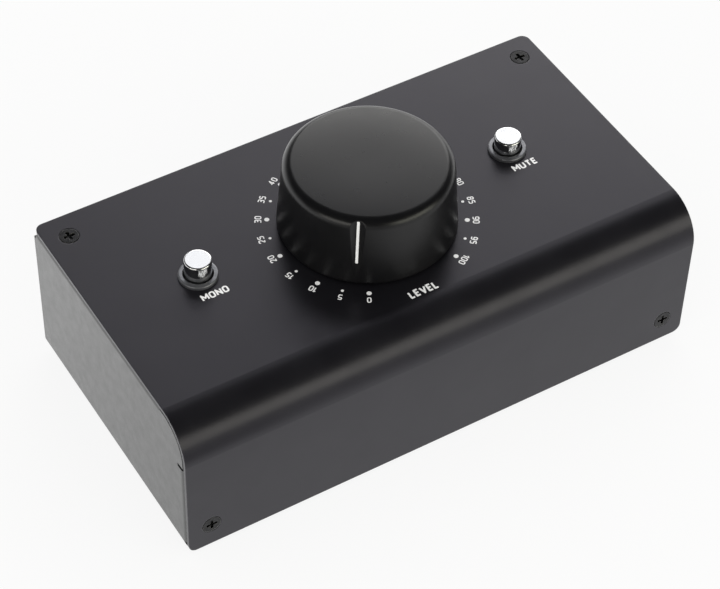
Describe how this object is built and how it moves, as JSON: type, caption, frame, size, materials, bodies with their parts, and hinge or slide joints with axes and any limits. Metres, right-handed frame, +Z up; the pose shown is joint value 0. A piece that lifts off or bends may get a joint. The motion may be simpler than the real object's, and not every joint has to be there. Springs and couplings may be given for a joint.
{
  "type": "studio monitor controller",
  "caption": "Desktop monitor controller: folded steel box with a large level knob, latching mono and mute buttons on top and balanced audio connectors at the rear.",
  "frame": {"origin": "centre of the overall box, on the plane that the four feet stand on", "axes": "+X to the right along the front, +Y to the rear connectors, +Z up through the knob's axis"},
  "size_m": [0.145, 0.0802, 0.065],
  "materials": {
    "cover_paint": "satin powder coat, fine grain",
    "chassis_paint": "satin powder coat, fine sandy grain",
    "black_screw": "black oxide, semi-gloss",
    "foot_rubber": "matt",
    "knob_black": "soft satin",
    "pointer_white": "satin white",
    "brass": "machined",
    "steel": "bright zinc",
    "pot_grey": "moulded",
    "wafer_brown": "laminate with resistive track",
    "tin": "tinned",
    "cap_chrome": "polished side, bright top",
    "bezel_grey": "dark anodised, satin",
    "switch_white": "moulded",
    "switch_black": "moulded",
    "board_green": "solder mask",
    "resistor_blue": "lacquered",
    "ribbon_grey": "flexible insulation",
    "connector_black": "moulded, satin",
    "insulator_black": "moulded, matt",
    "contact_gold": "gold-plated"
  },
  "bodies": {
    "case": {"top_cover": "cover_paint", "chassis": "chassis_paint", "cover_screws": "black_screw", "feet": "foot_rubber", "pot_case": "pot_grey", "pot_wafers": "wafer_brown", "pot_pins": "tin", "pot_bush": "brass", "pot_washer": "steel", "pot_nut": "steel", "mono_bezel": "bezel_grey", "mono_spring": "steel", "mono_switch": "switch_black", "mono_pins": "tin", "mute_bezel": "bezel_grey", "mute_spring": "steel", "mute_switch": "switch_black", "mute_pins": "tin", "control_board": "board_green", "control_standoffs": "brass", "control_board_screws": "steel", "resistors": "resistor_blue", "connector_board": "board_green", "base_standoffs": "steel", "connector_board_screws": "steel", "ribbon_cable": "ribbon_grey", "upper_header": "switch_white", "lower_header": "switch_white", "combo_left_housing": "connector_black", "combo_left_insert": "insulator_black", "combo_left_contacts": "contact_gold", "combo_right_housing": "connector_black", "combo_right_insert": "insulator_black", "combo_right_contacts": "contact_gold", "output_left_housing": "connector_black", "output_left_insulator": "insulator_black", "output_left_pins": "contact_gold", "output_right_housing": "connector_black", "output_right_insulator": "insulator_black", "output_right_pins": "contact_gold", "mini_jack_body": "connector_black", "mini_jack_bush": "steel", "mini_jack_nut": "steel", "connector_pins": "tin", "connector_screws": "black_screw"},
    "knob": {"knob_shell": "knob_black", "pointer_line": "pointer_white", "knob_hub": "brass", "pot_shaft": "steel", "pot_wipers": "brass"},
    "mono_button": {"mono_cap": "cap_chrome", "mono_plunger": "switch_white"},
    "mute_button": {"mute_cap": "cap_chrome", "mute_plunger": "switch_white"}
  },
  "joints": [
    {"name": "level_turn", "type": "hinge", "parent": "case", "child": "knob", "pos_m": [0, -0.0006, 0.0449], "axis": [0, 0, 1], "range_deg": [-291.8, 8.2]},
    {"name": "mono_press", "type": "slide", "parent": "case", "child": "mono_button", "axis": [0, 0, -1], "range_m": [0, 0.0016], "stiffness_N_per_m": 1000, "springref_m": -0.0005, "deforming": ["mono_spring"]},
    {"name": "mute_press", "type": "slide", "parent": "case", "child": "mute_button", "axis": [0, 0, -1], "range_m": [-0.001, 0.0006], "stiffness_N_per_m": 1000, "deforming": ["mute_spring"]}
  ]
}
